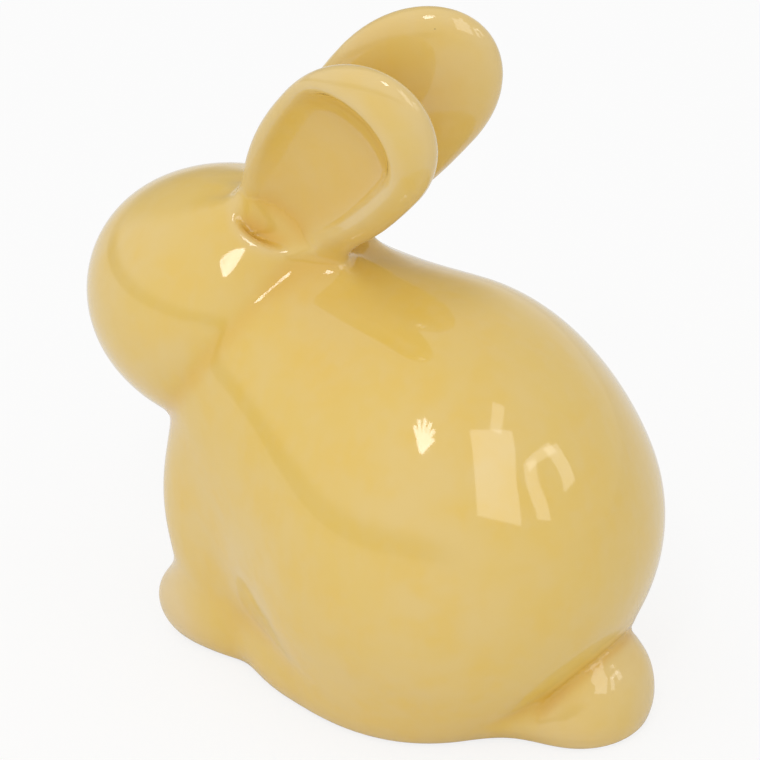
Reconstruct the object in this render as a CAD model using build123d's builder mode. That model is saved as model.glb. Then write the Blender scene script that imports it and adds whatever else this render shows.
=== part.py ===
from build123d import *
import os
from math import cos, hypot, radians, sin, sqrt

os.makedirs("parts", exist_ok=True)

# Crouching rabbit ornament in glazed earthenware. Each form is cast or pressed on its own,
# fettled to the curve of its neighbour and stuck on with slip, pegged where it would slide.
# X runs across the rabbit with its left side at +X, Y runs from nose to tail and Z runs up
# from the table. The origin is on the table under the middle of the length.

# Clay and joints
wall = 5.0
slip_gap = 0.2
socket_relief = 0.6

# Rump: the big egg of back, flanks and belly
rump_radius = 52.0
rump_rise = 61.5
rump_drop = 50.0
rump_lean_angle = 23.0
rump_height = 43.0

# Skirt: the flat egg on which the rump spreads out to the table
skirt_width_share = 0.702
skirt_length_share = 0.606
skirt_rise = 22.0
skirt_drop = 35.0
skirt_forward = 3.4

# Loin: the long egg that carries the back smoothly from the rump to the shoulders
loin_radius = 42.0
loin_ahead = 75.0
loin_behind = 35.0
loin_lean_angle = 64.0
loin_height = 55.5
loin_forward = 3.9

# Shoulders: the egg that carries the head
shoulder_radius = 33.4
shoulder_rise = 37.0
shoulder_drop = 48.0
shoulder_lean_angle = 17.5
shoulder_height = 70.3
shoulder_tuck = 9.1

# Chest: the upright egg between the forelegs
chest_radius = 24.0
chest_rise = 31.0
chest_drop = 38.0
chest_height = 37.0

# Head: an egg with its long end at the nose, cut flat where it sits on the shoulders
head_radius = 32.5
head_nose = 38.4
head_nape = 34.0
head_lean_angle = 95.5
head_forward = 19.9
head_lift = 15.1
neck_lean_angle = 55.5
neck_set = 10.5

# Ears: flattened eggs scooped on their outer face, the right one turned more to the front
ear_half_width = 20.0
ear_half_thickness = 7.8
ear_tip = 27.2
ear_root = 49.0
ear_sink = 8.0
ear_seat_back_angle = 31.7
ear_seat_out_angle = 11.5
left_ear_back_angle = 38.8
left_ear_splay_angle = 12.9
left_ear_twist_angle = 5.0
right_ear_back_angle = 35.6
right_ear_splay_angle = 11.4
right_ear_twist_angle = -35.6
scoop_half_width = 14.8
scoop_tip = 15.5
scoop_root = 47.0
scoop_depth = 8.0
scoop_lip = 5.6
scoop_forward = 3.4
ear_peg_radius = 2.2
ear_peg_inset = 2.0
ear_peg_depth = 1.0
ear_peg_hold = 14.0

# Tail: a ball against the rump
tail_radius = 17.0
tail_length = 14.6
tail_stand = 3.4
tail_bearing_angle = 229.3
tail_peg_radius = 5.0

# Forelegs with their paws
foreleg_radius = 12.8
foreleg_half_length = 16.0
foreleg_rise = 28.0
foreleg_drop = 40.0
foreleg_lean_angle = 9.0
foreleg_height = 34.0
foreleg_tuck = 6.0
foreleg_forward = 1.1
paw_radius = 11.9
paw_toe = 17.0
paw_heel = 20.0
paw_height = 9.0
paw_forward = 2.8
foreleg_peg_radius = 3.5
foreleg_peg_height = 20.0
foreleg_peg_hold = 6.0

# Hind feet that look out in front of the rump
hind_foot_radius = 10.5
hind_foot_half_length = 20.0
hind_foot_height = 8.0
hind_foot_tuck = 7.8
hind_foot_behind = 35.2
hind_foot_peg_radius = 2.5
hind_foot_peg_height = 4.0
hind_foot_peg_hold = 12.0
hind_foot_peg_depth = 4.0

# Floor of the casting and the disc that closes it
floor_thickness = 8.0
disc_radius = 17.0
disc_thickness = 4.0
disc_recess = 1.0
disc_ledge = 3.0
vent_radius = 4.0


def heading(lean):
    """Unit vector in the mid plane, turned from straight up towards the nose."""
    return Vector(0, -sin(radians(lean)), cos(radians(lean)))


def skin_reach(radius, ahead, behind, lean, toward):
    """Distance in the mid plane from an egg's centre to its skin along a heading."""
    along = heading(lean).dot(toward)
    across = sqrt(1 - along * along)
    half_length = ahead if along > 0 else behind
    return 1 / hypot(along / half_length, across / radius)


def skin_width(half_width, half_depth, ahead, behind, lean, offset):
    """Half width of an egg at a point of the mid plane, given from its centre, or 0 outside it."""
    along = heading(lean).dot(offset)
    across = heading(lean - 90).dot(offset)
    half_length = ahead if along > 0 else behind
    return half_width * sqrt(max(0, 1 - (along / half_length) ** 2 - (across / half_depth) ** 2))


def egg_plane(centre, lean):
    """Seat of an egg in or beside the mid plane, its normal along the egg's axis."""
    return Plane(origin=centre, x_dir=heading(lean - 90), z_dir=heading(lean))


def form_egg(plane, half_x, half_y, ahead, behind, mode=Mode.ADD):
    """Egg along the plane's normal, with its own half length at each end."""
    front = Sphere(1, arc_size1=0, arc_size2=90, align=None, mode=Mode.PRIVATE)
    back = Sphere(1, arc_size1=-90, arc_size2=0, align=None, mode=Mode.PRIVATE)
    long_front = scale(front, by=(half_x, half_y, ahead), mode=Mode.PRIVATE)
    long_back = scale(back, by=(half_x, half_y, behind), mode=Mode.PRIVATE)
    add(plane.location * (long_front + long_back), mode=mode)


def round_egg(plane, radius, ahead, behind, mode=Mode.ADD):
    """Egg with a round middle."""
    form_egg(plane, radius, radius, ahead, behind, mode)


def turn_rod(plane, radius, start, stop, mode=Mode.ADD):
    """Round rod along the plane's normal between two distances from its origin."""
    with BuildSketch(plane.offset(start)) as end:
        Circle(radius)
    extrude(end.sketch, amount=stop - start, mode=mode)


def lay_ear(side, back, splay, twist):
    """Seat of an ear at its root, 1 for the left side and -1 for the right."""
    way = heading(-back).rotate(Axis.Y, side * splay)
    flat = Vector(side, 0, 0).rotate(Axis.Y, side * splay)
    face = flat.rotate(Axis((0, 0, 0), way), side * twist)
    return Plane(origin=head_centre + ear_pole + Vector(side * ear_out, 0, 0), x_dir=face, z_dir=way)


def ear_peg(plane, radius, depth, mode=Mode.ADD):
    """Peg from the ear down into the head, set in from the scooped face."""
    seat = Plane(origin=plane.origin - plane.x_dir * ear_peg_inset, x_dir=plane.x_dir, z_dir=plane.z_dir)
    turn_rod(seat, radius, -depth, ear_peg_hold, mode)


def press_ear(plane, side):
    """Ear on its root, scooped, fettled to the head and pegged."""
    middle = plane.offset(ear_root)
    scoop_centre = middle.origin + middle.x_dir * scoop_lip - middle.y_dir * (side * scoop_forward)
    scoop_plane = Plane(origin=scoop_centre, x_dir=middle.x_dir, z_dir=middle.z_dir)
    form_egg(middle, ear_half_thickness, ear_half_width, ear_tip, ear_root)
    form_egg(scoop_plane, scoop_depth, scoop_half_width, scoop_tip, scoop_root, mode=Mode.SUBTRACT)
    add(head_form.part, mode=Mode.SUBTRACT)
    ear_peg(plane, ear_peg_radius, ear_peg_depth)


# Places along the length, measured from the middle of the rump
shoulder_ahead = rump_radius - shoulder_tuck
head_ahead = shoulder_ahead + head_forward
nose_reach = hypot(head_nose * sin(radians(head_lean_angle)), head_radius * cos(radians(head_lean_angle)))
tail_way = heading(tail_bearing_angle)
rump_skin = skin_reach(rump_radius, rump_rise, rump_drop, rump_lean_angle, tail_way)
tail_offset = tail_way * (rump_skin + tail_stand)
rump_y = (head_ahead + nose_reach - tail_offset.Y - tail_length) / 2

rump_centre = Vector(0, rump_y, rump_height)
shoulder_centre = Vector(0, rump_y - shoulder_ahead, shoulder_height)
chest_centre = Vector(0, rump_y - rump_radius, chest_height)
skirt_centre = Vector(0, rump_y - skirt_forward, rump_height - skirt_drop)
loin_centre = Vector(0, rump_y - loin_forward, loin_height)
head_centre = Vector(0, rump_y - head_ahead, shoulder_height + head_lift)
tail_centre = rump_centre + tail_offset

rump_plane = egg_plane(rump_centre, rump_lean_angle)
skirt_plane = egg_plane(skirt_centre, 0)
skirt_half_width = rump_radius * skirt_width_share
skirt_half_length = rump_radius * skirt_length_share
loin_plane = egg_plane(loin_centre, loin_lean_angle)
chest_plane = egg_plane(chest_centre, 0)
shoulder_plane = egg_plane(shoulder_centre, shoulder_lean_angle)
head_plane = egg_plane(head_centre, head_lean_angle)
neck_plane = egg_plane(head_centre - heading(neck_lean_angle) * neck_set, neck_lean_angle)

# Ear roots inside the head, facing the tip, with the scooped face towards their x_dir
ear_depth = head_radius - ear_sink
ear_out = ear_depth * sin(radians(ear_seat_out_angle))
ear_pole = ear_depth * cos(radians(ear_seat_out_angle)) * heading(-ear_seat_back_angle)
left_ear_plane = lay_ear(1, left_ear_back_angle, left_ear_splay_angle, left_ear_twist_angle)
right_ear_plane = lay_ear(-1, right_ear_back_angle, right_ear_splay_angle, right_ear_twist_angle)

# Foreleg and hind foot on the left side
foreleg_x = chest_radius - foreleg_tuck
foreleg_y = chest_centre.Y - foreleg_forward
foreleg_plane = egg_plane((foreleg_x, foreleg_y, foreleg_height), foreleg_lean_angle)
paw_plane = egg_plane((foreleg_x, foreleg_y - paw_forward, paw_height), 90)
foreleg_peg_plane = Plane((foreleg_x, chest_centre.Y, foreleg_peg_height), x_dir=(0, 1, 0), z_dir=(1, 0, 0))
hind_foot_y = foreleg_y + hind_foot_behind
hind_foot_seat = Vector(0, hind_foot_y, hind_foot_height)
rump_flank = skin_width(
    rump_radius, rump_radius, rump_rise, rump_drop, rump_lean_angle, hind_foot_seat - rump_centre
)
skirt_flank = skin_width(
    skirt_half_width, skirt_half_length, skirt_rise, skirt_rise, 0, hind_foot_seat - skirt_centre
)
hind_foot_x = max(rump_flank, skirt_flank) - hind_foot_tuck
hind_foot_plane = egg_plane((hind_foot_x, hind_foot_y, hind_foot_height), 90)
hind_foot_peg_plane = egg_plane((hind_foot_x, hind_foot_y, hind_foot_peg_height), 90)

tail_plane = egg_plane(tail_centre, -90)
tail_peg_plane = Plane(origin=tail_centre, x_dir=(1, 0, 0), z_dir=-tail_way)
tail_peg_length = tail_stand + wall

disc_plane = Plane((0, rump_y, 0))
ledge_height = disc_recess + disc_thickness

# Whole outer forms that the neighbours are fettled to
with BuildPart() as torso_form:
    round_egg(rump_plane, rump_radius, rump_rise, rump_drop)
    form_egg(skirt_plane, skirt_half_length, skirt_half_width, skirt_rise, skirt_rise)
    round_egg(loin_plane, loin_radius, loin_ahead, loin_behind)
    round_egg(shoulder_plane, shoulder_radius, shoulder_rise, shoulder_drop)
    round_egg(chest_plane, chest_radius, chest_rise, chest_drop)
    split(bisect_by=Plane.XY, keep=Keep.TOP)
    split(bisect_by=neck_plane, keep=Keep.BOTTOM)

with BuildPart() as head_form:
    round_egg(head_plane, head_radius, head_nose, head_nape)

# Hollow that is left when the slip is poured out of the body mould
with BuildPart() as torso_hollow:
    round_egg(rump_plane, rump_radius - wall, rump_rise - wall, rump_drop - wall)
    round_egg(loin_plane, loin_radius - wall, loin_ahead - wall, loin_behind - wall)
    round_egg(shoulder_plane, shoulder_radius - wall, shoulder_rise - wall, shoulder_drop - wall)
    round_egg(chest_plane, chest_radius - wall, chest_rise - wall, chest_drop - wall)
    split(bisect_by=Plane.XY.offset(floor_thickness), keep=Keep.TOP)

# Sockets of the left side, cut again as a mirror image on the right
with BuildPart() as body_sockets:
    turn_rod(foreleg_peg_plane, foreleg_peg_radius + slip_gap, -wall - socket_relief, foreleg_radius)
    turn_rod(
        hind_foot_peg_plane, hind_foot_peg_radius + slip_gap,
        -hind_foot_peg_depth - socket_relief, hind_foot_half_length,
    )
    mirror(about=Plane.YZ)

# Body shell, open at the neck, with its floor, pour hole and sockets
with BuildPart() as body_shell:
    add(torso_form.part)
    add(torso_hollow.part, mode=Mode.SUBTRACT)
    turn_rod(disc_plane, disc_radius - disc_ledge, 0, floor_thickness, mode=Mode.SUBTRACT)
    turn_rod(disc_plane, disc_radius + slip_gap, 0, ledge_height, mode=Mode.SUBTRACT)
    turn_rod(
        tail_peg_plane, tail_peg_radius + slip_gap, 0, tail_peg_length + socket_relief, mode=Mode.SUBTRACT
    )
    add(body_sockets.part, mode=Mode.SUBTRACT)
body_shell.part.label = "body_shell"
export_step(body_shell.part, "parts/body_shell.step")

# Head shell, its open rim flat on the rim of the body
with BuildPart() as head_shell:
    add(head_form.part)
    round_egg(head_plane, head_radius - wall, head_nose - wall, head_nape - wall, mode=Mode.SUBTRACT)
    split(bisect_by=neck_plane, keep=Keep.TOP)
    ear_peg(left_ear_plane, ear_peg_radius + slip_gap, ear_peg_depth + socket_relief, Mode.SUBTRACT)
    ear_peg(right_ear_plane, ear_peg_radius + slip_gap, ear_peg_depth + socket_relief, Mode.SUBTRACT)
head_shell.part.label = "head_shell"
export_step(head_shell.part, "parts/head_shell.step")

# Ears, pegged through the wall of the head
with BuildPart() as left_ear:
    press_ear(left_ear_plane, 1)
left_ear.part.label = "left_ear"
export_step(left_ear.part, "parts/left_ear.step")

with BuildPart() as right_ear:
    press_ear(right_ear_plane, -1)
right_ear.part.label = "right_ear"
export_step(right_ear.part, "parts/right_ear.step")

# Left foreleg and paw in one pressing
with BuildPart() as left_foreleg:
    form_egg(foreleg_plane, foreleg_half_length, foreleg_radius, foreleg_rise, foreleg_drop)
    round_egg(paw_plane, paw_radius, paw_toe, paw_heel)
    split(bisect_by=Plane.XY, keep=Keep.TOP)
    add(torso_form.part, mode=Mode.SUBTRACT)
    turn_rod(foreleg_peg_plane, foreleg_peg_radius, -wall, foreleg_peg_hold)
left_foreleg.part.label = "left_foreleg"
export_step(left_foreleg.part, "parts/left_foreleg.step")

with BuildPart() as right_foreleg:
    mirror(left_foreleg.part, about=Plane.YZ)
right_foreleg.part.label = "right_foreleg"
export_step(right_foreleg.part, "parts/right_foreleg.step")

# Left hind foot, its toe out in front of the rump, fettled to the rump and to the paw
with BuildPart() as left_hind_foot:
    round_egg(hind_foot_plane, hind_foot_radius, hind_foot_half_length, hind_foot_half_length)
    split(bisect_by=Plane.XY, keep=Keep.TOP)
    add(torso_form.part, mode=Mode.SUBTRACT)
    add(left_foreleg.part, mode=Mode.SUBTRACT)
    turn_rod(hind_foot_peg_plane, hind_foot_peg_radius, -hind_foot_peg_depth, hind_foot_peg_hold)
left_hind_foot.part.label = "left_hind_foot"
export_step(left_hind_foot.part, "parts/left_hind_foot.step")

with BuildPart() as right_hind_foot:
    mirror(left_hind_foot.part, about=Plane.YZ)
right_hind_foot.part.label = "right_hind_foot"
export_step(right_hind_foot.part, "parts/right_hind_foot.step")

# Tail, pegged into the back of the rump
with BuildPart() as tail:
    round_egg(tail_plane, tail_radius, tail_length, tail_length)
    split(bisect_by=Plane.XY, keep=Keep.TOP)
    add(torso_form.part, mode=Mode.SUBTRACT)
    turn_rod(tail_peg_plane, tail_peg_radius, 0, tail_peg_length)
tail.part.label = "tail"
export_step(tail.part, "parts/tail.step")

# Disc stuck up into the floor, with the vent that lets steam out in the kiln
with BuildPart() as base_disc:
    turn_rod(disc_plane, disc_radius, disc_recess, ledge_height)
    turn_rod(disc_plane, vent_radius, disc_recess, ledge_height, mode=Mode.SUBTRACT)
base_disc.part.label = "base_disc"
export_step(base_disc.part, "parts/base_disc.step")
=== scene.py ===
from math import cos, pi, radians, sin

import bmesh
import bpy
import numpy as np
from bpy.props import FloatProperty, FloatVectorProperty, PointerProperty
from mathutils import Euler, Matrix, Quaternion, Vector


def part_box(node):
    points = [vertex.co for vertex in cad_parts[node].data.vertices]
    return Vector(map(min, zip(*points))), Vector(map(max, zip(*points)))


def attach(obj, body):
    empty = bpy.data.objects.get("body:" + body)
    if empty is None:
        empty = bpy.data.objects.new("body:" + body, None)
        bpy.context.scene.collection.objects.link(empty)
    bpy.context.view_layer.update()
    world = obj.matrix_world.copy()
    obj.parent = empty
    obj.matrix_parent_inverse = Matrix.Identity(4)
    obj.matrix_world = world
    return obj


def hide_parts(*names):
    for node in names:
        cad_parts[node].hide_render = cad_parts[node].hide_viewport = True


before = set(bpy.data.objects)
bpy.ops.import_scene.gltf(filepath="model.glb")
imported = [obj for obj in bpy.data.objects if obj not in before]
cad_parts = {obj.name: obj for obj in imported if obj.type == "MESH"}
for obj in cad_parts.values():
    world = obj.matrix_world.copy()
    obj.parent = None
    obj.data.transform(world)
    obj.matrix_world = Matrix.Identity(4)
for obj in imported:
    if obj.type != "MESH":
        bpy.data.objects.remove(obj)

bl_info = {
    "name": "Glazed rabbit ornament",
    "version": (1, 0, 0),
    "blender": (4, 5, 0),
    "location": "3D View > Sidebar > Rabbit",
    "description": "Models a crouching earthenware rabbit under a yellow glaze",
    "category": "Add Mesh",
}

BODY_LOW, BODY_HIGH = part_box("body_shell")
HEAD_LOW, HEAD_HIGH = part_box("head_shell")
TAIL_LOW, TAIL_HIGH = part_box("tail")
DISC_LOW, DISC_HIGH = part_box("base_disc")
SIDES = (("left", 1), ("right", -1))
THUMB = np.array((0.0179, 0.0607, 0.0749))
TAIL_GROOVE_SPREAD = 0.0018
CHEEK_GROOVE_SPREAD = 0.0022
SHOAL_STEEPNESS = 0.7
SLOPE_STEP = 0.00015
SETTLE_STEP = 0.002
CREASE_DEPTH = 0.0003
HOLLOW_DEPTH = 0.0011
RIDGE_START, RIDGE_HEIGHT = 0.00004, 0.0002
# Front and top reach of the painted sheen on the paw fronts.
PAW_SHEEN_FRONT = (0.024, 0.042)
PAW_SHEEN_TOP = (-0.034, -0.010)
FOOT_LEVEL = 0.0004
FLOOR_SIZE, FLOOR_DROP = 6, 0.0002
PAPER_SHARE = 0.82
PHOTO_WIDTH = 760
PIECES = (
    "body_shell", "head_shell", "left_ear", "right_ear", "left_foreleg", "right_foreleg",
    "left_hind_foot", "right_hind_foot", "tail",
)


def length(label, note, default):
    """A length that a user may change."""
    return FloatProperty(name=label, description=note, default=default, unit="LENGTH", subtype="DISTANCE")


def turn(label, note, default):
    """An angle that a user may change, given in degrees."""
    return FloatProperty(
        name=label, description=note, default=radians(default), unit="ROTATION", subtype="ANGLE"
    )


def share(label, note, default):
    """A share from 0 to 1 that a user may change."""
    return FloatProperty(name=label, description=note, default=default, min=0, max=1, subtype="FACTOR")


def colour(label, note, default):
    """A colour that a user may change."""
    return FloatVectorProperty(
        name=label, description=note, default=(*default, 1), size=4, min=0, max=1, subtype="COLOR"
    )


class RabbitSizes(bpy.types.PropertyGroup):
    """Sizes of the clay forms and of the slip worked into their joints."""

    rump_radius: length("Rump radius", "Half width of the big egg", (BODY_HIGH.x - BODY_LOW.x) / 2 - 0.0003)
    rump_rise: length("Rump rise", "Rump from its widest place to its top", 0.0615)
    rump_drop: length("Rump drop", "Rump from its widest place to its foot", 0.050)
    rump_lean: turn("Rump lean", "Tilt of the rump towards the head", 23)
    rump_y: length("Rump place", "Rump along the rabbit", 0.02289)
    rump_height: length("Rump height", "Widest place of the rump above the table", 0.043)

    skirt_half_width: length("Skirt half width", "Half width of the rump's flat foot", 0.0365)
    skirt_half_length: length("Skirt half length", "Half length of the rump's flat foot", 0.0315)
    skirt_rise: length("Skirt rise", "Half height of the rump's flat foot", 0.022)
    skirt_y: length("Skirt place", "Rump's flat foot along the rabbit", 0.0195)
    skirt_height: length("Skirt height", "Widest place of the rump's foot above the table", 0.008)

    shoulder_radius: length("Shoulder radius", "Half width of the shoulders", 0.0334)
    shoulder_rise: length("Shoulder rise", "Shoulders from their widest place to the top", 0.037)
    shoulder_drop: length("Shoulder drop", "Shoulders from their widest place down", 0.048)
    shoulder_lean: turn("Shoulder lean", "Tilt of the shoulders towards the head", 17.5)
    shoulder_y: length("Shoulder place", "Shoulders along the rabbit", -0.02001)
    shoulder_height: length("Shoulder height", "Widest place of the shoulders above the table", 0.0703)

    chest_radius: length("Chest radius", "Half width of the chest", 0.024)
    chest_rise: length("Chest rise", "Chest from its widest place to its top", 0.031)
    chest_drop: length("Chest drop", "Chest from its widest place down", 0.038)
    chest_y: length("Chest place", "Chest along the rabbit", -0.02911)
    chest_height: length("Chest height", "Widest place of the chest above the table", 0.037)

    head_radius: length("Head radius", "Half width of the head", (HEAD_HIGH.x - HEAD_LOW.x) / 2)
    head_nose: length("Head to nose", "Head from its widest place to the nose", 0.0381)
    head_nape: length("Head to nape", "Head from its widest place to the nape", 0.034)
    head_lean: turn("Head lean", "Tilt of the head from upright towards the nose", 95.5)
    head_y: length("Head place", "Head along the rabbit", -0.03991)
    head_height: length("Head height", "Middle of the head above the table", 0.0854)
    neck_lean: turn("Neck lean", "Tilt of the flat joint under the head", 55.5)
    neck_set: length("Neck set", "Neck joint behind the middle of the head", 0.0105)

    ear_half_thickness: length("Ear half thickness", "Half thickness of an ear before scooping", 0.0078)
    ear_half_width: length("Ear half width", "Half width of an ear", 0.020)
    ear_tip: length("Ear to tip", "Ear from its widest place to the tip", 0.0272)
    ear_root: length("Ear to root", "Ear from its widest place to the root", 0.049)
    ear_out: length("Ear root out", "Root of an ear from the mid plane", 0.00488)
    ear_y: length("Ear root place", "Root of an ear along the rabbit", -0.0273)
    ear_height: length("Ear root height", "Root of an ear above the table", 0.10583)
    left_ear_back: turn("Left ear lay back", "Left ear laid back from upright", 38.8)
    left_ear_splay: turn("Left ear splay", "Left ear leaning outwards", 12.9)
    left_ear_twist: turn("Left ear twist", "Left ear turned on its root", 5)
    right_ear_back: turn("Right ear lay back", "Right ear laid back from upright", 35.6)
    right_ear_splay: turn("Right ear splay", "Right ear leaning outwards", 11.4)
    right_ear_twist: turn("Right ear twist", "Right ear turned on its root", -35.6)
    scoop_depth: length("Scoop depth", "Half thickness of the scooping form", 0.008)
    scoop_half_width: length("Scoop half width", "Half width of the scoop", 0.0148)
    scoop_tip: length("Scoop to tip", "Scoop from its widest place towards the tip", 0.0155)
    scoop_root: length("Scoop to root", "Scoop from its widest place towards the root", 0.047)
    scoop_lip: length("Scoop lip", "Middle of the scooping form outside the ear's middle", 0.0056)
    scoop_shoal: length("Scoop shoal", "Height over the head below which the scoop runs out", 0.006)
    scoop_forward: length("Scoop forward", "Scoop towards the front edge of the ear", 0.0034)

    tail_radius: length("Tail radius", "Half width of the tail", (TAIL_HIGH.x - TAIL_LOW.x) / 2)
    tail_length: length("Tail length", "Half length of the tail", 0.0146)
    tail_y: length("Tail place", "Tail along the rabbit", 0.06366)
    tail_height: length("Tail height", "Middle of the tail above the table", 0.0079)

    foreleg_radius: length("Foreleg radius", "Half width of a foreleg", 0.0128)
    foreleg_half_length: length("Foreleg half length", "Half of a foreleg from front to back", 0.016)
    foreleg_rise: length("Foreleg rise", "Foreleg from its widest place up", 0.028)
    foreleg_drop: length("Foreleg drop", "Foreleg from its widest place down", 0.040)
    foreleg_lean: turn("Foreleg lean", "Tilt of a foreleg towards the nose", 9)
    foreleg_out: length("Foreleg out", "Foreleg from the mid plane", 0.018)
    foreleg_y: length("Foreleg place", "Foreleg along the rabbit", -0.0302)
    foreleg_height: length("Foreleg height", "Widest place of a foreleg above the table", 0.034)
    paw_radius: length("Paw radius", "Half width of a paw", 0.0119)
    paw_toe: length("Paw to toe", "Paw from its widest place to the toe", 0.017)
    paw_heel: length("Paw to heel", "Paw from its widest place to the heel", 0.020)
    paw_y: length("Paw place", "Paw along the rabbit", -0.033)
    paw_height: length("Paw height", "Middle of a paw above the table", 0.009)

    hind_foot_radius: length("Hind foot radius", "Half width of a hind foot", 0.0105)
    hind_foot_half_length: length("Hind foot half length", "Half length of a hind foot", 0.020)
    hind_foot_out: length("Hind foot out", "Hind foot from the mid plane", 0.0255)
    hind_foot_y: length("Hind foot place", "Hind foot along the rabbit", 0.005)
    hind_foot_height: length("Hind foot height", "Middle of a hind foot above the table", 0.008)

    back_fillet: length("Back fillet", "Slip worked in between shoulders and rump", 0.018)
    haunch_fillet: length("Haunch fillet", "Slip in the crease in front of the haunch", 0.0205)
    chest_fillet: length("Chest fillet", "Slip between chest and shoulders", 0.012)
    neck_fillet: length("Neck fillet", "Slip in the crease behind the cheek", 0.004)
    foreleg_fillet: length("Foreleg fillet", "Slip round the forelegs", 0.008)
    paw_fillet: length("Paw fillet", "Slip between a foreleg and its paw", 0.006)
    foot_fillet: length("Foot fillet", "Slip round the hind feet", 0.009)
    tail_fillet: length("Tail fillet", "Slip round the upper side of the tail", 0.005)
    tail_foot_fillet: length("Tail foot fillet", "Slip beside the tail near the table", 0.018)
    tail_groove: length("Tail groove", "Depth of the line tooled over the tail", 0.0007)
    ear_fillet: length("Ear fillet", "Slip round the roots of the ears", 0.0105)
    skirt_fillet: length("Skirt fillet", "Slip between the rump and its flat foot", 0.016)
    cheek_groove: length("Cheek groove", "Depth of the line tooled behind the cheek", 0.0006)
    dent_depth: length("Dent depth", "Depth of the thumb dent high on the rump", 0.0002)
    dent_width: length("Dent width", "Spread of the thumb dent", 0.0042)
    joint_depth: length("Joint depth", "Hidden depth of a stuck joint under the skin", 0.007)
    lip_round: length("Ear lip", "Rounding of the lip of the scoop", 0.0035)
    foot_round: length("Foot rounding", "Rounding where the clay meets the table", 0.002)
    waver: length("Waver", "Unevenness left by the hands", 0.0002)
    clay_grain: length("Clay grain", "Size of the faces on the clay", 0.001)
    wall: length("Wall", "Thickness of the casting", 0.006)
    slip_gap: length("Slip gap", "Room round the disc in the floor", 0.0002)


class RabbitFinish(bpy.types.PropertyGroup):
    """Colours of the glaze, of the bare clay and of the stage."""

    glaze: colour("Glaze", "Yellow glaze on open surfaces", (0.752, 0.522, 0.122))
    pooled: colour("Pooled glaze", "Glaze that ran thick into a crease", (0.74, 0.435, 0.060))
    # Painted shade: this colour darkens the broad hollows, such as the ear scoops.
    painted_hollow_shade: colour("Painted hollow shade", "Shade painted into a broad hollow", (0.58, 0.39, 0.085))
    # Besides the ridges, this colour paints a pale sheen on the paw fronts.
    thin_glaze_and_sheen: colour("Thin glaze and painted sheen", "Glaze drawn off a ridge, and painted sheen on the paw fronts", (0.74, 0.58, 0.34))
    bisque: colour("Bare clay", "Unglazed foot and disc", (0.71, 0.60, 0.46))
    floor: colour("Floor", "Pale studio floor", (0.90, 0.90, 0.90))
    glaze_roughness: share("Glaze roughness", "Roughness of the fired glaze", 0.06)


class Egg:
    """An egg of clay: two half ellipsoids on one middle."""

    def __init__(self, centre, tilt, half_x, half_y, ahead, behind):
        self.centre = np.array(centre)
        self.tilt = tilt
        self.axes = np.array(Euler(tilt).to_matrix())
        self.half_x, self.half_y, self.ahead, self.behind = half_x, half_y, ahead, behind

    def swollen(self, slip):
        """The same egg with a coat of slip all over."""
        halves = (self.half_x + slip, self.half_y + slip, self.ahead + slip, self.behind + slip)
        return Egg(self.centre, self.tilt, *halves)

    def distance(self, points):
        """How far points lie outside the skin, true close to it."""
        local = (points - self.centre) @ self.axes
        half = np.where(local[:, 2] > 0, self.ahead, self.behind)
        size = np.stack([np.full_like(half, self.half_x), np.full_like(half, self.half_y), half], axis=1)
        unit = local / size
        reach = np.sqrt((unit * unit).sum(axis=1))
        unit /= size
        slope = np.sqrt((unit * unit).sum(axis=1))
        return reach * (reach - 1) / np.maximum(slope, 1e-6)


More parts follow.
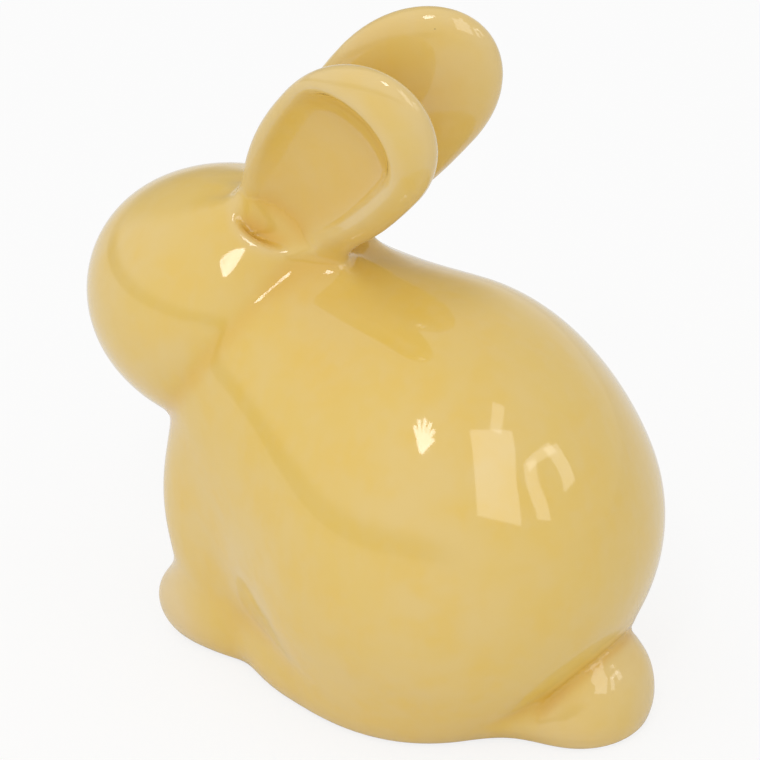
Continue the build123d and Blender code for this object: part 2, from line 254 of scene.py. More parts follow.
def rabbit_eggs(s):
    """Every egg of clay that the rabbit is built up from, by name."""
    eggs = {
        "rump": Egg(
            (0, s.rump_y, s.rump_height), (s.rump_lean, 0, 0),
            s.rump_radius, s.rump_radius, s.rump_rise, s.rump_drop,
        ),
        "skirt": Egg(
            (0, s.skirt_y, s.skirt_height), (0, 0, 0),
            s.skirt_half_width, s.skirt_half_length, s.skirt_rise, s.skirt_rise,
        ),
        "shoulder": Egg(
            (0, s.shoulder_y, s.shoulder_height), (s.shoulder_lean, 0, 0),
            s.shoulder_radius, s.shoulder_radius, s.shoulder_rise, s.shoulder_drop,
        ),
        "chest": Egg(
            (0, s.chest_y, s.chest_height), (0, 0, 0),
            s.chest_radius, s.chest_radius, s.chest_rise, s.chest_drop,
        ),
        "head": Egg(
            (0, s.head_y, s.head_height), (s.head_lean, 0, 0),
            s.head_radius, s.head_radius, s.head_nose, s.head_nape,
        ),
        "tail": Egg(
            (0, s.tail_y, s.tail_height), (-pi / 2, 0, 0),
            s.tail_radius, s.tail_radius, s.tail_length, s.tail_length,
        ),
    }
    for side, hand in SIDES:
        back, splay, twist = (getattr(s, f"{side}_ear_{way}") for way in ("back", "splay", "twist"))
        turned = Euler((-back, hand * splay, 0)).to_matrix() @ Matrix.Rotation(hand * twist, 3, "Z")
        lay = turned.to_euler()
        ear_centre = Vector((hand * s.ear_out, s.ear_y, s.ear_height)) + turned @ Vector((0, 0, s.ear_root))
        eggs[side + "_ear"] = Egg(
            ear_centre, lay, s.ear_half_thickness, s.ear_half_width, s.ear_tip, s.ear_root,
        )
        eggs[side + "_scoop"] = Egg(
            ear_centre + turned @ Vector((hand * s.scoop_lip, -s.scoop_forward, 0)), lay,
            s.scoop_depth, s.scoop_half_width, s.scoop_tip, s.scoop_root,
        )
        eggs[side + "_foreleg"] = Egg(
            (hand * s.foreleg_out, s.foreleg_y, s.foreleg_height), (s.foreleg_lean, 0, 0),
            s.foreleg_radius, s.foreleg_half_length, s.foreleg_rise, s.foreleg_drop,
        )
        eggs[side + "_paw"] = Egg(
            (hand * s.foreleg_out, s.paw_y, s.paw_height), (pi / 2, 0, 0),
            s.paw_radius, s.paw_radius, s.paw_toe, s.paw_heel,
        )
        eggs[side + "_hind_foot"] = Egg(
            (hand * s.hind_foot_out, s.hind_foot_y, s.hind_foot_height), (pi / 2, 0, 0),
            s.hind_foot_radius, s.hind_foot_radius, s.hind_foot_half_length, s.hind_foot_half_length,
        )
    return eggs


def weld(a, b, fillet):
    """Joins two forms, given as distances, with a fillet of slip."""
    near = np.clip(1 - np.abs(a - b) / fillet, 0, 1)
    return np.minimum(a, b) - near * near * fillet / 4


def carve(a, b, rounding):
    """Takes the second form out of the first and rounds the lip."""
    return -weld(-a, b, rounding)


def ease(values, low, high):
    """Runs smoothly from 0 at low to 1 at high."""
    t = np.clip((values - low) / (high - low), 0, 1)
    return t * t * (3 - 2 * t)


def hand_waver(points, s):
    """Unevenness that the hands left in the clay."""
    chance = np.random.default_rng(11)
    total = np.zeros(len(points))
    for _ in range(10):
        way = chance.normal(size=3)
        pitch = chance.uniform(0.030, 0.075)
        total += np.sin(points @ way * (2 * pi / pitch / np.linalg.norm(way)) + chance.uniform(0, 2 * pi))
    return total * s.waver / 5 ** 0.5


def skin_distance(points, eggs, s):
    """How far points lie outside the finished clay."""
    reach = {name: egg.distance(points) for name, egg in eggs.items()}
    front = weld(reach["shoulder"], reach["chest"], s.chest_fillet)
    for side, _ in SIDES:
        leg = weld(reach[side + "_foreleg"], reach[side + "_paw"], s.paw_fillet)
        front = weld(front, leg, s.foreleg_fillet)
    softening = ease(points[:, 2], s.rump_height, s.shoulder_height + s.shoulder_rise / 2)
    crease = s.haunch_fillet + (s.back_fillet - s.haunch_fillet) * softening
    rump = weld(reach["rump"], reach["skirt"], s.skirt_fillet)
    skin = weld(front, rump, crease)
    for side, _ in SIDES:
        skin = weld(skin, reach[side + "_hind_foot"], s.foot_fillet)
    lifted = ease(points[:, 2], s.tail_height / 2, 2 * s.tail_height)
    dip = np.exp(-((skin - reach["tail"]) / TAIL_GROOVE_SPREAD) ** 2) * s.tail_groove * lifted
    tail_slip = s.tail_foot_fillet + (s.tail_fillet - s.tail_foot_fillet) * lifted
    skin = weld(skin, reach["tail"], tail_slip) + dip
    groove = np.exp(-((skin - reach["head"]) / CHEEK_GROOVE_SPREAD) ** 2) * s.cheek_groove
    skin = weld(skin, reach["head"], s.neck_fillet) + groove
    shoal = SHOAL_STEEPNESS * np.clip(s.scoop_shoal - skin, 0, None)
    skin = weld(skin, weld(reach["left_ear"], reach["right_ear"], s.lip_round), s.ear_fillet)
    for side, _ in SIDES:
        skin = carve(skin, reach[side + "_scoop"] + shoal, s.lip_round)
    away = ((points - THUMB) ** 2).sum(axis=1)
    skin = skin + s.dent_depth * np.exp(-away / (2 * s.dent_width ** 2))
    return carve(skin + hand_waver(points, s), points[:, 2], s.foot_round)


def slope_of(points, eggs, s):
    """Direction out of the finished clay."""
    slope = np.zeros_like(points)
    for way in ((1, -1, -1), (-1, -1, 1), (-1, 1, -1), (1, 1, 1)):
        way = np.array(way, float)
        slope += np.outer(skin_distance(points + way * SLOPE_STEP, eggs, s), way)
    return slope / (4 * SLOPE_STEP)


def deselect():
    """Leaves nothing selected and no edit mode open."""
    if bpy.context.object and bpy.context.object.mode != "OBJECT":
        bpy.ops.object.mode_set(mode="OBJECT")
    bpy.ops.object.select_all(action="DESELECT")


def pick(piece):
    """Selects one object alone and makes it active."""
    deselect()
    piece.select_set(True)
    bpy.context.view_layer.objects.active = piece


def apply_modifier(piece, kind, **settings):
    """Adds one modifier, sets it and applies it."""
    pick(piece)
    modifier = piece.modifiers.new(kind.title(), kind)
    for name, value in settings.items():
        setattr(modifier, name, value)
    bpy.ops.object.modifier_apply(modifier=modifier.name)


def roll_egg(name, egg):
    """Rolls a ball of clay and draws it out to an egg in its place."""
    deselect()
    bpy.ops.mesh.primitive_uv_sphere_add(segments=96, ring_count=64, radius=1)
    ball = bpy.context.object
    ball.name = name
    bpy.ops.object.mode_set(mode="EDIT")
    for end, reach in ((1, egg.ahead), (-1, egg.behind)):
        bpy.ops.mesh.select_all(action="DESELECT")
        mesh = bmesh.from_edit_mesh(ball.data)
        for vert in mesh.verts:
            vert.select = vert.co.z * end > 1e-6
        mesh.select_flush(True)
        bmesh.update_edit_mesh(ball.data)
        bpy.ops.transform.resize(value=(1, 1, reach), center_override=(0, 0, 0))
    bpy.ops.mesh.select_all(action="SELECT")
    bpy.ops.transform.resize(value=(egg.half_x, egg.half_y, 1), center_override=(0, 0, 0))
    bpy.ops.object.mode_set(mode="OBJECT")
    ball.rotation_euler = egg.tilt
    ball.location = egg.centre
    bpy.ops.object.transform_apply(location=True, rotation=True, scale=True)
    return ball


def points_of(mesh):
    """Vertex places of a mesh as an array."""
    flat = np.empty(len(mesh.vertices) * 3)
    mesh.vertices.foreach_get("co", flat)
    return flat.reshape(-1, 3)


def settle(piece, eggs, s, rounds):
    """Smooths the rough clay down on to the finished form."""
    points = points_of(piece.data)
    for _ in range(rounds):
        slope = slope_of(points, eggs, s)
        steep = np.maximum((slope * slope).sum(axis=1), 0.05)
        move = skin_distance(points, eggs, s) / steep
        points = points - slope * np.clip(move, -SETTLE_STEP, SETTLE_STEP)[:, None]
    piece.data.vertices.foreach_set("co", points.ravel())
    piece.data.update()


def neighbour_mean(values, ends, rounds):
    """Spreads values over the skin from vertex to vertex."""
    count = np.bincount(ends.ravel(), minlength=len(values))[:, None]
    for _ in range(rounds):
        total = np.stack([
            np.bincount(ends[:, 0], values[ends[:, 1], k], len(values))
            + np.bincount(ends[:, 1], values[ends[:, 0], k], len(values))
            for k in range(values.shape[1])
        ], axis=1)
        values = 0.5 * values + 0.5 * total / count
    return values


def note_glaze(piece, ways):
    """Notes on the skin where glaze runs thick and where it draws off the ridges, where painted shade
    darkens the broad hollows, and where a painted sheen pales the paw fronts.
    """
    mesh = piece.data
    points = points_of(mesh)
    ends = np.empty(len(mesh.edges) * 2, np.int32)
    mesh.edges.foreach_get("vertices", ends)
    ends = ends.reshape(-1, 2)
    fine = ((neighbour_mean(points, ends, 14) - points) * ways).sum(axis=1)
    broad = ((neighbour_mean(points, ends, 90) - points) * ways).sum(axis=1)
    pool = np.clip(fine / CREASE_DEPTH, 0, 1) * 0.75 + np.clip(broad / HOLLOW_DEPTH, 0, 1) * 0.2
    ridge = np.clip((-fine - RIDGE_START) / RIDGE_HEIGHT, 0, 1)
    # Paler where the glaze drew off the ridges; the paw-front share is painted sheen.
    thin_glaze_and_sheen = 0.55 * ridge + ease(-points[:, 1], *PAW_SHEEN_FRONT) * ease(-points[:, 2], *PAW_SHEEN_TOP)
    # Painted shade in the broad hollows, such as the ear scoops.
    painted_hollow_shade = np.clip(broad / HOLLOW_DEPTH - 0.25, 0, 1)
    for name, values, rounds in (("pool", pool, 6), ("thin_glaze_and_sheen", thin_glaze_and_sheen, 3), ("painted_hollow_shade", painted_hollow_shade, 6)):
        soft = neighbour_mean(np.clip(values, 0, 1)[:, None], ends, rounds)[:, 0]
        note = mesh.attributes.new(name, "FLOAT", "POINT")
        note.data.foreach_set("value", soft.astype(np.float32))
    note = mesh.attributes.new("way", "FLOAT_VECTOR", "POINT")
    note.data.foreach_set("vector", ways.astype(np.float32).ravel())


def joint_measures(eggs, s):
    """For each stuck-on piece, a measure over the skin that is above zero on that piece."""
    def torso(points):
        return np.minimum.reduce([eggs[n].distance(points) for n in ("rump", "skirt", "shoulder", "chest")])

    measures = {}
    for (side, _), (other, _) in zip(SIDES, SIDES[::-1]):
        measures[side + "_ear"] = lambda p, side=side, other=other: (
            np.minimum.reduce([torso(p), eggs["head"].distance(p), eggs[other + "_ear"].distance(p)])
            - eggs[side + "_ear"].distance(p)
        )
        measures[side + "_foreleg"] = lambda p, side=side: torso(p) - np.minimum(
            eggs[side + "_foreleg"].distance(p), eggs[side + "_paw"].distance(p)
        )
        measures[side + "_hind_foot"] = lambda p, side=side: (
            torso(p) - eggs[side + "_hind_foot"].distance(p)
        )
    measures["tail"] = lambda p: torso(p) - eggs["tail"].distance(p)
    up = np.array((0, -sin(s.neck_lean), cos(s.neck_lean)))
    seat = eggs["head"].centre - up * s.neck_set
    measures["head_shell"] = lambda p: (p - seat) @ up
    return measures


def score_joints(piece, eggs, s):
    """Scores the skin along every joint and marks each face with its piece."""
    mesh = bmesh.new()
    mesh.from_mesh(piece.data)
    mark = mesh.faces.layers.int.new("piece")
    for name, measure in joint_measures(eggs, s).items():
        places = np.array([v.co for v in mesh.verts])
        values = measure(places)
        values[np.abs(values) < 1e-7] = 1e-7
        mesh.verts.index_update()
        height = dict(zip(mesh.verts, values))
        fresh = []
        for edge in list(mesh.edges):
            a, b = edge.verts
            if height[a] * height[b] < 0:
                along = min(max(height[a] / (height[a] - height[b]), 0.1), 0.9)
                fresh.append(bmesh.utils.edge_split(edge, a, along)[1])
        for vert in fresh:
            height[vert] = 0
        bmesh.ops.connect_verts(mesh, verts=fresh)
        number = PIECES.index(name)
        for face in mesh.faces:
            if face[mark] == 0 and sum(height[v] for v in face.verts) > 0:
                face[mark] = number
    keep_whole(mesh, mark)
    mesh.to_mesh(piece.data)
    mesh.free()


def keep_whole(mesh, mark):
    """Gives stray patches of a piece back to the body, so that each piece is one patch."""
    for number in range(1, len(PIECES)):
        left = {face for face in mesh.faces if face[mark] == number}
        patches = []
        while left:
            patch, waiting = set(), [left.pop()]
            while waiting:
                face = waiting.pop()
                patch.add(face)
                for edge in face.edges:
                    for other in edge.link_faces:
                        if other in left:
                            left.discard(other)
                            waiting.append(other)
            patches.append(patch)
        for patch in sorted(patches, key=len)[:-1]:
            for face in patch:
                face[mark] = 0


def part_piece(name, seat=None):
    """Parts one piece from the skin along its joint and closes both sides down to a seat."""
    skin = bpy.data.objects["clay_skin"]
    number = PIECES.index(name)
    pick(skin)
    bpy.ops.object.mode_set(mode="EDIT")
    bpy.ops.mesh.select_mode(type="FACE")
    bpy.ops.mesh.select_all(action="DESELECT")
    mesh = bmesh.from_edit_mesh(skin.data)
    mark = mesh.faces.layers.int["piece"]
    for face in mesh.faces:
        face.select_set(face[mark] == number)
    bmesh.update_edit_mesh(skin.data)
    bpy.ops.mesh.separate(type="SELECTED")
    bpy.ops.object.mode_set(mode="OBJECT")
    piece = next(o for o in bpy.context.selected_objects if o != skin)
    piece.name = piece.data.name = name + "_glazed"
    seat = seat or seat_under(piece)
    for part in (piece, skin):
        close_cut(part, seat)
    return piece


def seat_under(piece):
    """A point under the skin behind the open rim of a parted piece."""
    mesh = bmesh.new()
    mesh.from_mesh(piece.data)
    rim = np.array([v.co for v in mesh.verts if v.is_boundary]).mean(axis=0)
    inward = rim - np.array([v.co for v in mesh.verts]).mean(axis=0)
    mesh.free()
    return Vector(rim + inward * (bpy.context.scene.rabbit_sizes.joint_depth / np.linalg.norm(inward)))


def close_cut(piece, seat):
    """Closes the open edge that parting left with faces down to a seat under the skin."""
    pick(piece)
    bpy.ops.object.mode_set(mode="EDIT")
    bpy.ops.mesh.select_mode(type="FACE")
    bpy.ops.mesh.select_all(action="SELECT")
    bpy.ops.mesh.fill_holes(sides=0)
    bpy.ops.mesh.select_all(action="DESELECT")
    bpy.ops.mesh.select_face_by_sides(number=8, type="GREATER")
    bpy.ops.mesh.poke()
    mesh = bmesh.from_edit_mesh(piece.data)
    mark = mesh.faces.layers.int["piece"]
    fan = [face for face in mesh.faces if face.select]
    for face in fan:
        face[mark] = -1
    tip = max(fan[0].verts, key=lambda vert: sum(face.select for face in vert.link_faces))
    tip.co = seat
    bmesh.update_edit_mesh(piece.data)
    bpy.ops.object.mode_set(mode="OBJECT")


def finish_piece(piece, node):
    """Gives a parted piece its smooth skin, its glaze, its bare foot and its place on the frame."""
    mesh = piece.data
    marks = np.empty(len(mesh.polygons), np.int32)
    mesh.attributes["piece"].data.foreach_get("value", marks)
    ways = np.empty(len(mesh.vertices) * 3, np.float32)
    mesh.attributes["way"].data.foreach_get("vector", ways)
    ways = ways.reshape(-1, 3)
    mesh.materials.clear()
    mesh.materials.append(yellow_glaze())
    mesh.materials.append(bare_clay())
    corners = [None] * len(mesh.loops)
    for face in mesh.polygons:
        face.use_smooth = True
        bare = face.normal.z < -0.9 and face.center.z < FOOT_LEVEL
        face.material_index = 1 if bare or marks[face.index] < 0 else 0
        for loop, vert in zip(face.loop_indices, face.vertices):
            way = Vector(ways[vert])
            on_skin = marks[face.index] >= 0 and way.length > 0.5 and way.dot(face.normal) > 0.3
            corners[loop] = way.normalized() if on_skin else face.normal.copy()
    mesh.normals_split_custom_set(corners)
    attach(piece, "root")
    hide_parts(node)


def wire(tree, kind, **settings):
    """Adds one shader node and sets its inputs and options by name."""
    node = tree.nodes.new("ShaderNode" + kind)
    for name, value in settings.items():
        if name in node.inputs:
            node.inputs[name].default_value = value
        else:
            setattr(node, name, value)
    return node


def new_material(name):
    """Returns a fresh material, its node tree and its shader."""
    material = bpy.data.materials.new(name)
    material.use_nodes = True
    return material, material.node_tree, material.node_tree.nodes["Principled BSDF"]


def feed(tree, slot, value):
    """Links an output to an input, or sets the input to a plain value."""
    if isinstance(value, bpy.types.NodeSocket):
        tree.links.new(value, slot)
    else:
        slot.default_value = value


def ramp(tree, source, low, high):
    """Turns a grey input into 0 below low and 1 above high."""
    node = wire(tree, "MapRange", interpolation_type="SMOOTHSTEP")
    node.inputs["From Min"].default_value = low
    node.inputs["From Max"].default_value = high
    tree.links.new(source, node.inputs["Value"])
    return node.outputs["Result"]


def blend_colour(tree, amount, first, second, way="MIX"):
    """Mixes two colours or colour outputs by an amount."""
    node = wire(tree, "Mix", data_type="RGBA", blend_type=way)
    slots = [i for i in node.inputs if i.type == "RGBA"]
    for slot, value in zip(slots, (first, second)):
        feed(tree, slot, value)
    feed(tree, node.inputs["Factor"], amount)
    return next(o for o in node.outputs if o.type == "RGBA")


def sums(tree, operation, first, second):
    """One sum on two numbers or outputs."""
    node = wire(tree, "Math", operation=operation)
    for slot, value in zip(node.inputs, (first, second)):
        feed(tree, slot, value)
    return node.outputs["Value"]


def patches(tree, texture, low, high, most):
    """Patches of a texture, from 0 up to a share at the most."""
    return sums(tree, "MULTIPLY", ramp(tree, texture.outputs["Fac"], low, high), most)


def blend_number(tree, amount, first, second):
    """Mixes two numbers or number outputs by an amount."""
    node = wire(tree, "Mix", data_type="FLOAT")
    slots = [i for i in node.inputs if i.type == "VALUE"]
    for slot, value in zip(slots, (amount, first, second)):
        feed(tree, slot, value)
    return next(o for o in node.outputs if o.type == "VALUE")


def yellow_glaze():
    """Glossy yellow glaze: amber where it pooled, pale where it drew off the ridges, cloudy between, with
    painted shade in broad hollows and a painted pale sheen on the paw fronts.
    """
    ready = bpy.data.materials.get("yellow_glaze_fired")
    if ready:
        return ready
    f = bpy.context.scene.rabbit_finish
    material, tree, shader = new_material("yellow_glaze_fired")
    place = wire(tree, "TexCoord").outputs["Object"]
    cloud = wire(tree, "TexNoise", Scale=34, Detail=3, Roughness=0.55)
    curd = wire(tree, "TexNoise", Scale=230, Detail=2, Roughness=0.5)
    blotch = wire(tree, "TexNoise", Scale=95, Detail=2, Roughness=0.5)
    run = wire(tree, "TexNoise", Scale=1, Detail=1)
    spot = wire(tree, "TexVoronoi", Scale=75, Randomness=1)
    swell = wire(tree, "TexNoise", Scale=60, Detail=1)
    for texture in (cloud, curd, blotch, spot, swell):
        tree.links.new(place, texture.inputs["Vector"])
    drawn_down = wire(tree, "Mapping", Scale=(260, 260, 28))
    tree.links.new(place, drawn_down.inputs["Vector"])
    tree.links.new(drawn_down.outputs["Vector"], run.inputs["Vector"])
    pool = wire(tree, "Attribute", attribute_name="pool").outputs["Fac"]
    thin_glaze_and_sheen = wire(tree, "Attribute", attribute_name="thin_glaze_and_sheen").outputs["Fac"]
    painted_hollow_shade = wire(tree, "Attribute", attribute_name="painted_hollow_shade").outputs["Fac"]
    glaze = tuple(f.glaze)
    warm = (glaze[0] * 1.01, glaze[1] * 0.975, glaze[2] * 0.80, 1)
    pale = tuple(g + (t - g) * 0.24 for g, t in zip(glaze, f.thin_glaze_and_sheen))
    base = blend_colour(tree, ramp(tree, cloud.outputs["Fac"], 0.30, 0.62), pale, glaze)
    base = blend_colour(tree, patches(tree, blotch, 0.35, 0.75, 0.8), base, warm)
    base = blend_colour(tree, patches(tree, curd, 0.45, 0.80, 0.35), base, pale)
    base = blend_colour(tree, patches(tree, run, 0.45, 0.80, 0.30), base, pale)
    # Painted shade darkens the broad hollows.
    base = blend_colour(tree, sums(tree, "MULTIPLY", painted_hollow_shade, 0.6), base, tuple(f.painted_hollow_shade))
    base = blend_colour(tree, pool, base, tuple(f.pooled))
    # Pale glaze on the ridges, and painted sheen on the paw fronts.
    base = blend_colour(tree, sums(tree, "MULTIPLY", thin_glaze_and_sheen, 0.65), base, tuple(f.thin_glaze_and_sheen))
    pinhole = sums(tree, "SUBTRACT", 1, ramp(tree, spot.outputs["Distance"], 0.010, 0.024))
    scarce = ramp(tree, cloud.outputs["Fac"], 0.52, 0.56)
    pinhole = sums(tree, "MULTIPLY", pinhole, scarce)
    base = blend_colour(tree, sums(tree, "MULTIPLY", pinhole, 0.55), base, (0.20, 0.12, 0.04, 1))
    tree.links.new(base, shader.inputs["Base Color"])
    rough = wire(tree, "MapRange")
    rough.inputs["To Min"].default_value = f.glaze_roughness * 0.7
    rough.inputs["To Max"].default_value = f.glaze_roughness * 1.5
    tree.links.new(curd.outputs["Fac"], rough.inputs["Value"])
    tree.links.new(rough.outputs["Result"], shader.inputs["Roughness"])
    height = sums(tree, "SUBTRACT", sums(tree, "MULTIPLY", swell.outputs["Fac"], 0.6), pinhole)
    bump = wire(tree, "Bump", Strength=0.10, Distance=0.0006)
    tree.links.new(height, bump.inputs["Height"])
    tree.links.new(bump.outputs["Normal"], shader.inputs["Normal"])
    shader.inputs["IOR"].default_value = 1.52
    shader.inputs["Coat Weight"].default_value = 0.35
    shader.inputs["Coat Roughness"].default_value = 0.03
    return material


def bare_clay():
    """Dry unglazed clay with a fine sandy grain."""
    ready = bpy.data.materials.get("bare_clay_fired")
    if ready:
        return ready
    f = bpy.context.scene.rabbit_finish
    material, tree, shader = new_material("bare_clay_fired")
    place = wire(tree, "TexCoord").outputs["Object"]
    sand = wire(tree, "TexNoise", Scale=900, Detail=3, Roughness=0.6)
    stain = wire(tree, "TexNoise", Scale=70, Detail=2)
    for texture in (sand, stain):
        tree.links.new(place, texture.inputs["Vector"])
    bisque = tuple(f.bisque)
    dark = (bisque[0] * 0.78, bisque[1] * 0.74, bisque[2] * 0.68, 1)
    base = blend_colour(tree, ramp(tree, sand.outputs["Fac"], 0.45, 0.72), bisque, dark)
    base = blend_colour(tree, patches(tree, stain, 0.45, 0.75, 0.4), base, dark)
    tree.links.new(base, shader.inputs["Base Color"])
    bump = wire(tree, "Bump", Strength=0.35, Distance=0.0003)
    tree.links.new(sand.outputs["Fac"], bump.inputs["Height"])
    tree.links.new(bump.outputs["Normal"], shader.inputs["Normal"])
    shader.inputs["Roughness"].default_value = 0.85
    return material


class RABBIT_OT_model_clay(bpy.types.Operator):
    """Rolls the forms, sticks them together and smooths the joints with slip"""

    bl_idname = "rabbit.model_clay"
    bl_label = "Model the clay"

    def execute(self, context):
        s = context.scene.rabbit_sizes
        eggs = rabbit_eggs(s)
        lumps = {}
        for name, egg in eggs.items():
            coated = egg if name.endswith(("ear", "scoop")) else egg.swollen(s.chest_fillet / 4)
            lumps[name] = roll_egg(name + "_lump", coated)
        for side, _ in SIDES:
            scoop = lumps.pop(side + "_scoop")
            apply_modifier(lumps[side + "_ear"], "BOOLEAN", object=scoop, operation="DIFFERENCE")
            bpy.data.meshes.remove(scoop.data)
        deselect()
        for lump in lumps.values():
            lump.select_set(True)
        skin = lumps["rump"]
        context.view_layer.objects.active = skin
        bpy.ops.object.join()
        skin.name = skin.data.name = "clay_skin"
        apply_modifier(skin, "REMESH", mode="VOXEL", voxel_size=s.clay_grain)
        bpy.ops.object.mode_set(mode="EDIT")
        bpy.ops.mesh.select_all(action="SELECT")
        bpy.ops.mesh.bisect(plane_co=(0, 0, 0), plane_no=(0, 0, 1), use_fill=True, clear_inner=True)
        bpy.ops.object.mode_set(mode="OBJECT")
        apply_modifier(skin, "REMESH", mode="VOXEL", voxel_size=s.clay_grain)
        for _ in range(2):
            apply_modifier(skin, "SMOOTH", factor=0.5, iterations=6)
            settle(skin, eggs, s, 5)
            apply_modifier(skin, "REMESH", mode="VOXEL", voxel_size=s.clay_grain)
        apply_modifier(skin, "SMOOTH", factor=0.5, iterations=4)
        settle(skin, eggs, s, 4)
        ways = slope_of(points_of(skin.data), eggs, s)
        note_glaze(skin, ways / np.linalg.norm(ways, axis=1)[:, None])
        score_joints(skin, eggs, s)
        return {"FINISHED"}


class RABBIT_OT_part_ears(bpy.types.Operator):
    """Parts both ears from the head along their roots"""

    bl_idname = "rabbit.part_ears"
    bl_label = "Ears"

    def execute(self, context):
        s = context.scene.rabbit_sizes
        for side, hand in SIDES:
            root = Vector((hand * s.ear_out, s.ear_y, s.ear_height))
            finish_piece(part_piece(side + "_ear", root), side + "_ear")
        return {"FINISHED"}


class RABBIT_OT_part_forelegs(bpy.types.Operator):
    """Parts both forelegs, with their paws, from the chest"""

    bl_idname = "rabbit.part_forelegs"
    bl_label = "Forelegs"

    def execute(self, context):
        for side, _ in SIDES:
            finish_piece(part_piece(side + "_foreleg"), side + "_foreleg")
        return {"FINISHED"}


class RABBIT_OT_part_hind_feet(bpy.types.Operator):
    """Parts both hind feet from the foot of the rump"""

    bl_idname = "rabbit.part_hind_feet"
    bl_label = "Hind feet"

    def execute(self, context):
        for side, _ in SIDES:
            finish_piece(part_piece(side + "_hind_foot"), side + "_hind_foot")
        return {"FINISHED"}


class RABBIT_OT_part_tail(bpy.types.Operator):
    """Parts the tail from the back of the rump"""

    bl_idname = "rabbit.part_tail"
    bl_label = "Tail"

    def execute(self, context):
        finish_piece(part_piece("tail"), "tail")
        return {"FINISHED"}


class RABBIT_OT_part_head(bpy.types.Operator):
    """Parts the head from the shoulders at the neck"""

    bl_idname = "rabbit.part_head"
    bl_label = "Head"

    def execute(self, context):
        finish_piece(part_piece("head_shell"), "head_shell")
        return {"FINISHED"}


class RABBIT_OT_hollow_body(bpy.types.Operator):
    """Hollows what is left as the body and opens its floor for the disc"""

    bl_idname = "rabbit.hollow_body"
    bl_label = "Body"

    def execute(self, context):
        s = context.scene.rabbit_sizes
        body = bpy.data.objects["clay_skin"]
        body.name = body.data.name = "body_shell_glazed"
        rump = rabbit_eggs(s)["rump"]
        middle = (DISC_LOW + DISC_HIGH) / 2
        disc_radius = (DISC_HIGH.x - DISC_LOW.x) / 2
        deselect()
        bpy.ops.mesh.primitive_cylinder_add(
            vertices=96, radius=disc_radius + s.slip_gap, depth=2 * DISC_HIGH.z,
            location=(middle.x, middle.y, 0),
        )
        pocket = context.object
        bpy.ops.object.transform_apply(location=True, rotation=True, scale=True)
        bpy.ops.object.mode_set(mode="EDIT")
        bpy.ops.mesh.select_all(action="DESELECT")
        mesh = bmesh.from_edit_mesh(pocket.data)
        for face in mesh.faces:
            face.select_set(face.normal.z > 0.9)
        bmesh.update_edit_mesh(pocket.data)
        bpy.ops.mesh.inset(thickness=disc_radius * 0.18)
        bpy.ops.mesh.extrude_region_move(TRANSFORM_OT_translate={"value": (0, 0, s.wall)})
        bpy.ops.object.mode_set(mode="OBJECT")
        inside = roll_egg("inside_lump", Egg(
            rump.centre, rump.tilt, rump.half_x - 2 * s.wall, rump.half_y - 2 * s.wall,
            rump.ahead - 3 * s.wall, rump.behind - 1.5 * s.wall,
        ))
        apply_modifier(body, "BOOLEAN", object=inside, operation="DIFFERENCE")
        apply_modifier(body, "BOOLEAN", object=pocket, operation="DIFFERENCE")
        for tool in (inside, pocket):
            bpy.data.meshes.remove(tool.data)
        finish_piece(body, "body_shell")
        return {"FINISHED"}


class RABBIT_OT_finish_disc(bpy.types.Operator):
    """Leaves the disc in the floor as bare clay"""

    bl_idname = "rabbit.finish_disc"
    bl_label = "Base disc"

    def execute(self, context):
        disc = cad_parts["base_disc"]
        disc.data.materials.clear()
        disc.data.materials.append(bare_clay())
        return {"FINISHED"}


class RABBIT_OT_set_stage(bpy.types.Operator):
    """Lays the pale floor, hangs the soft lights and places the camera"""

    bl_idname = "rabbit.set_stage"
    bl_label = "Stage"

    def execute(self, context):
        scene = context.scene
        f = scene.rabbit_finish
        scene.view_settings.view_transform = "Standard"
        deselect()
        bpy.ops.mesh.primitive_plane_add(size=FLOOR_SIZE, location=(0, 0, -FLOOR_DROP))
        floor = context.object
        floor.name = "studio_floor"
        material, tree, shader = new_material("pale_floor")
        shader.inputs["Base Color"].default_value = f.floor
        shader.inputs["Roughness"].default_value = 0.9
        shader.inputs["Specular IOR Level"].default_value = 0.1
        paper = wire(tree, "Emission", Strength=1)
        paths = wire(tree, "LightPath")
        seen = sums(tree, "MAXIMUM", paths.outputs["Is Camera Ray"], paths.outputs["Is Transmission Ray"])
        mix = wire(tree, "MixShader")
        tree.links.new(sums(tree, "MULTIPLY", seen, PAPER_SHARE), mix.inputs["Fac"])
        tree.links.new(shader.outputs["BSDF"], mix.inputs[1])
        tree.links.new(paper.outputs["Emission"], mix.inputs[2])
        tree.links.new(mix.outputs["Shader"], tree.nodes["Material Output"].inputs["Surface"])
        floor.data.materials.append(material)
        hang_lights(scene)
        place_camera(scene)
        return {"FINISHED"}


def facing_share(tree, way, aim, low, high):
    """How nearly a direction, split in X, Y and Z, runs along an aim."""
    parts = [sums(tree, "MULTIPLY", way.outputs[axis], weight) for axis, weight in zip("XYZ", aim)]
    return ramp(tree, sums(tree, "ADD", sums(tree, "ADD", parts[0], parts[1]), parts[2]), low, high)


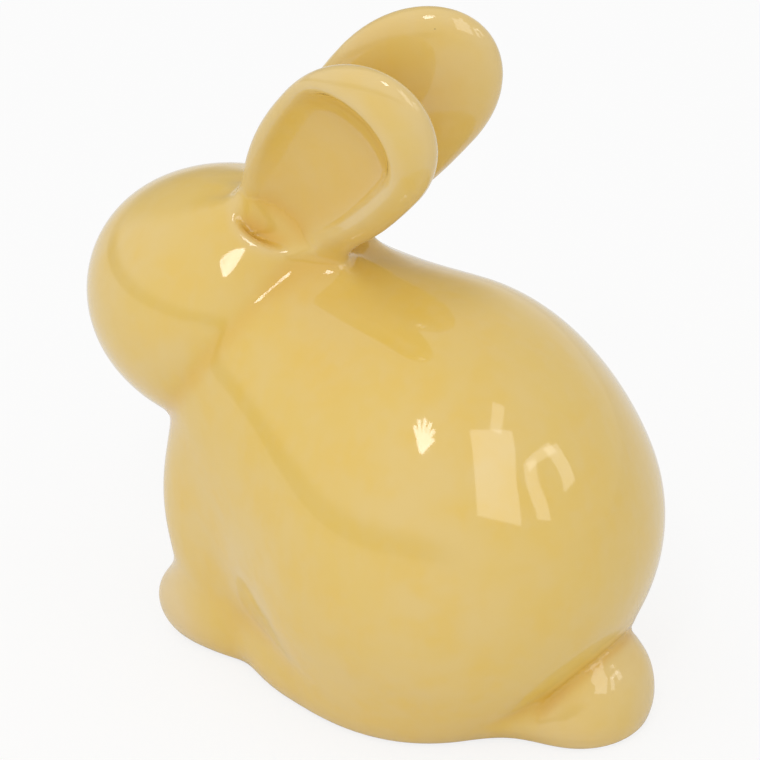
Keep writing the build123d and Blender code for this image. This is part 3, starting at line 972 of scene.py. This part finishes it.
def hang_lights(scene):
    """A soft white room, a ribbed umbrella near the camera and a tall window behind."""
    world = bpy.data.worlds.new("soft_room")
    scene.world = world
    world.use_nodes = True
    tree = world.node_tree
    room = tree.nodes["Background"]
    room.inputs["Color"].default_value = (1, 1, 1, 1)
    paths = wire(tree, "LightPath")
    way = wire(tree, "SeparateXYZ")
    tree.links.new(wire(tree, "TexCoord").outputs["Generated"], way.inputs["Vector"])
    gloom = facing_share(tree, way, (-0.58, -0.644, 0.50), 0.76, 0.95)
    wall = sums(tree, "SUBTRACT", 0.92, sums(tree, "MULTIPLY", gloom, 0.55))
    over_floor = ramp(tree, way.outputs["Z"], -0.06, 0.02)
    under_wall = ramp(tree, way.outputs["Z"], 0.22, 0.08)
    skirting = sums(tree, "MULTIPLY", over_floor, under_wall)
    skirting = sums(tree, "MULTIPLY", skirting, facing_share(tree, way, (0.82, -0.57, 0), 0.1, 0.6))
    wall = sums(tree, "SUBTRACT", wall, sums(tree, "MULTIPLY", skirting, 0.6))
    daylight = sums(tree, "MULTIPLY", facing_share(tree, way, (0.72, -0.12, 0.68), -0.4, 0.8), 0.34)
    glossy = blend_number(tree, paths.outputs["Is Glossy Ray"], sums(tree, "ADD", 0.62, daylight), wall)
    seen = blend_number(tree, paths.outputs["Is Camera Ray"], glossy, 1.0)
    tree.links.new(seen, room.inputs["Strength"])
    middle = Vector((0, 0.006, 0.06))
    # Each lamp: name, way from the rabbit, distance, width, height, brightness, spin
    ribs = [
        ("umbrella_rib", (0.643, 0.22, 0.681), 1.2, long, 0.042, 7, spin)
        for long, spin in (
            (0.29, 1.98), (0.35, 1.77), (0.37, 1.56), (0.35, 1.35), (0.30, 1.13), (0.22, 0.90),
        )
    ]
    panes = [
        ("window_pane", (0.275, 0.783, 0.559), 1.3, 0.874, 0.518, 1.75, 1.209),
        ("window_catch", (-0.031, 0.595, 0.803), 1.3, 0.340, 0.130, 1.6, 0.572),
        ("curtain_edge", (0.004, 0.934, 0.357), 1.3, 0.407, 0.147, 1.75, 1.251),
        ("curtain_fold", (-0.152, 0.863, 0.481), 1.3, 0.351, 0.105, 1.8, 0.011),
        ("curtain_hem", (-0.264, 0.881, 0.393), 1.3, 0.289, 0.193, 1.8, -1.757),
    ]
    for name, way, distance, width, height, brightness, spin in (*ribs, *panes):
        lamp = bpy.data.lights.new(name, "AREA")
        lamp.shape = "RECTANGLE"
        lamp.size, lamp.size_y = width, height
        lamp.energy = brightness * width * height * pi
        holder = bpy.data.objects.new(name, lamp)
        scene.collection.objects.link(holder)
        holder.visible_diffuse = name == "umbrella_rib"
        way = Vector(way).normalized()
        facing = way.to_track_quat("Z", "Y") @ Quaternion((0, 0, 1), spin)
        holder.location = middle + way * distance
        if name == "umbrella_rib":
            holder.location += facing @ Vector((width / 2, 0, 0))
        holder.rotation_euler = facing.to_euler()


def place_camera(scene):
    """Long lens on the rabbit's left rear, from above."""
    bearing, rise, distance = radians(33.03), radians(30.05), 0.9607
    focal_pixels, pixels_right, pixels_up = 3977.0, -13.32, 50.35
    target = Vector((0, 0.00631, 0.062))
    back = Vector((cos(bearing) * cos(rise), sin(bearing) * cos(rise), sin(rise)))
    right = Vector((-sin(bearing), cos(bearing), 0))
    up = back.cross(right)
    camera = bpy.data.cameras.new("camera")
    camera.lens = focal_pixels * camera.sensor_width / PHOTO_WIDTH
    holder = bpy.data.objects.new("camera", camera)
    scene.collection.objects.link(holder)
    holder.location = target + back * distance
    aim = right * (pixels_right / focal_pixels) + up * (pixels_up / focal_pixels) - back
    holder.rotation_euler = aim.to_track_quat("-Z", "Y").to_euler()
    camera.clip_start = 0.05
    scene.camera = holder


STEPS = (
    RABBIT_OT_model_clay, RABBIT_OT_part_ears, RABBIT_OT_part_forelegs, RABBIT_OT_part_hind_feet,
    RABBIT_OT_part_tail, RABBIT_OT_part_head, RABBIT_OT_hollow_body, RABBIT_OT_finish_disc,
    RABBIT_OT_set_stage,
)


class RABBIT_PT_workbench(bpy.types.Panel):
    """Lists the sizes, the finish and the steps of making the rabbit"""

    bl_idname = "RABBIT_PT_workbench"
    bl_label = "Rabbit"
    bl_space_type = "VIEW_3D"
    bl_region_type = "UI"
    bl_category = "Rabbit"

    def draw(self, context):
        for step in STEPS:
            self.layout.operator(step.bl_idname)
        for group in (context.scene.rabbit_sizes, context.scene.rabbit_finish):
            column = self.layout.column()
            for name in group.__annotations__:
                column.prop(group, name)


CLASSES = (RabbitSizes, RabbitFinish, *STEPS, RABBIT_PT_workbench)


def register():
    """Makes the add-on's classes known."""
    for item in CLASSES:
        bpy.utils.register_class(item)
    bpy.types.Scene.rabbit_sizes = PointerProperty(type=RabbitSizes)
    bpy.types.Scene.rabbit_finish = PointerProperty(type=RabbitFinish)


def unregister():
    """Takes the add-on's classes out again."""
    del bpy.types.Scene.rabbit_finish
    del bpy.types.Scene.rabbit_sizes
    for item in reversed(CLASSES):
        bpy.utils.unregister_class(item)


def main():
    """Makes the rabbit step by step."""
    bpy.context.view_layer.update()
    register()
    bpy.ops.rabbit.model_clay()
    bpy.ops.rabbit.part_ears()
    bpy.ops.rabbit.part_forelegs()
    bpy.ops.rabbit.part_hind_feet()
    bpy.ops.rabbit.part_tail()
    bpy.ops.rabbit.part_head()
    bpy.ops.rabbit.hollow_body()
    bpy.ops.rabbit.finish_disc()
    bpy.ops.rabbit.set_stage()


if __name__ == "__main__":
    main()
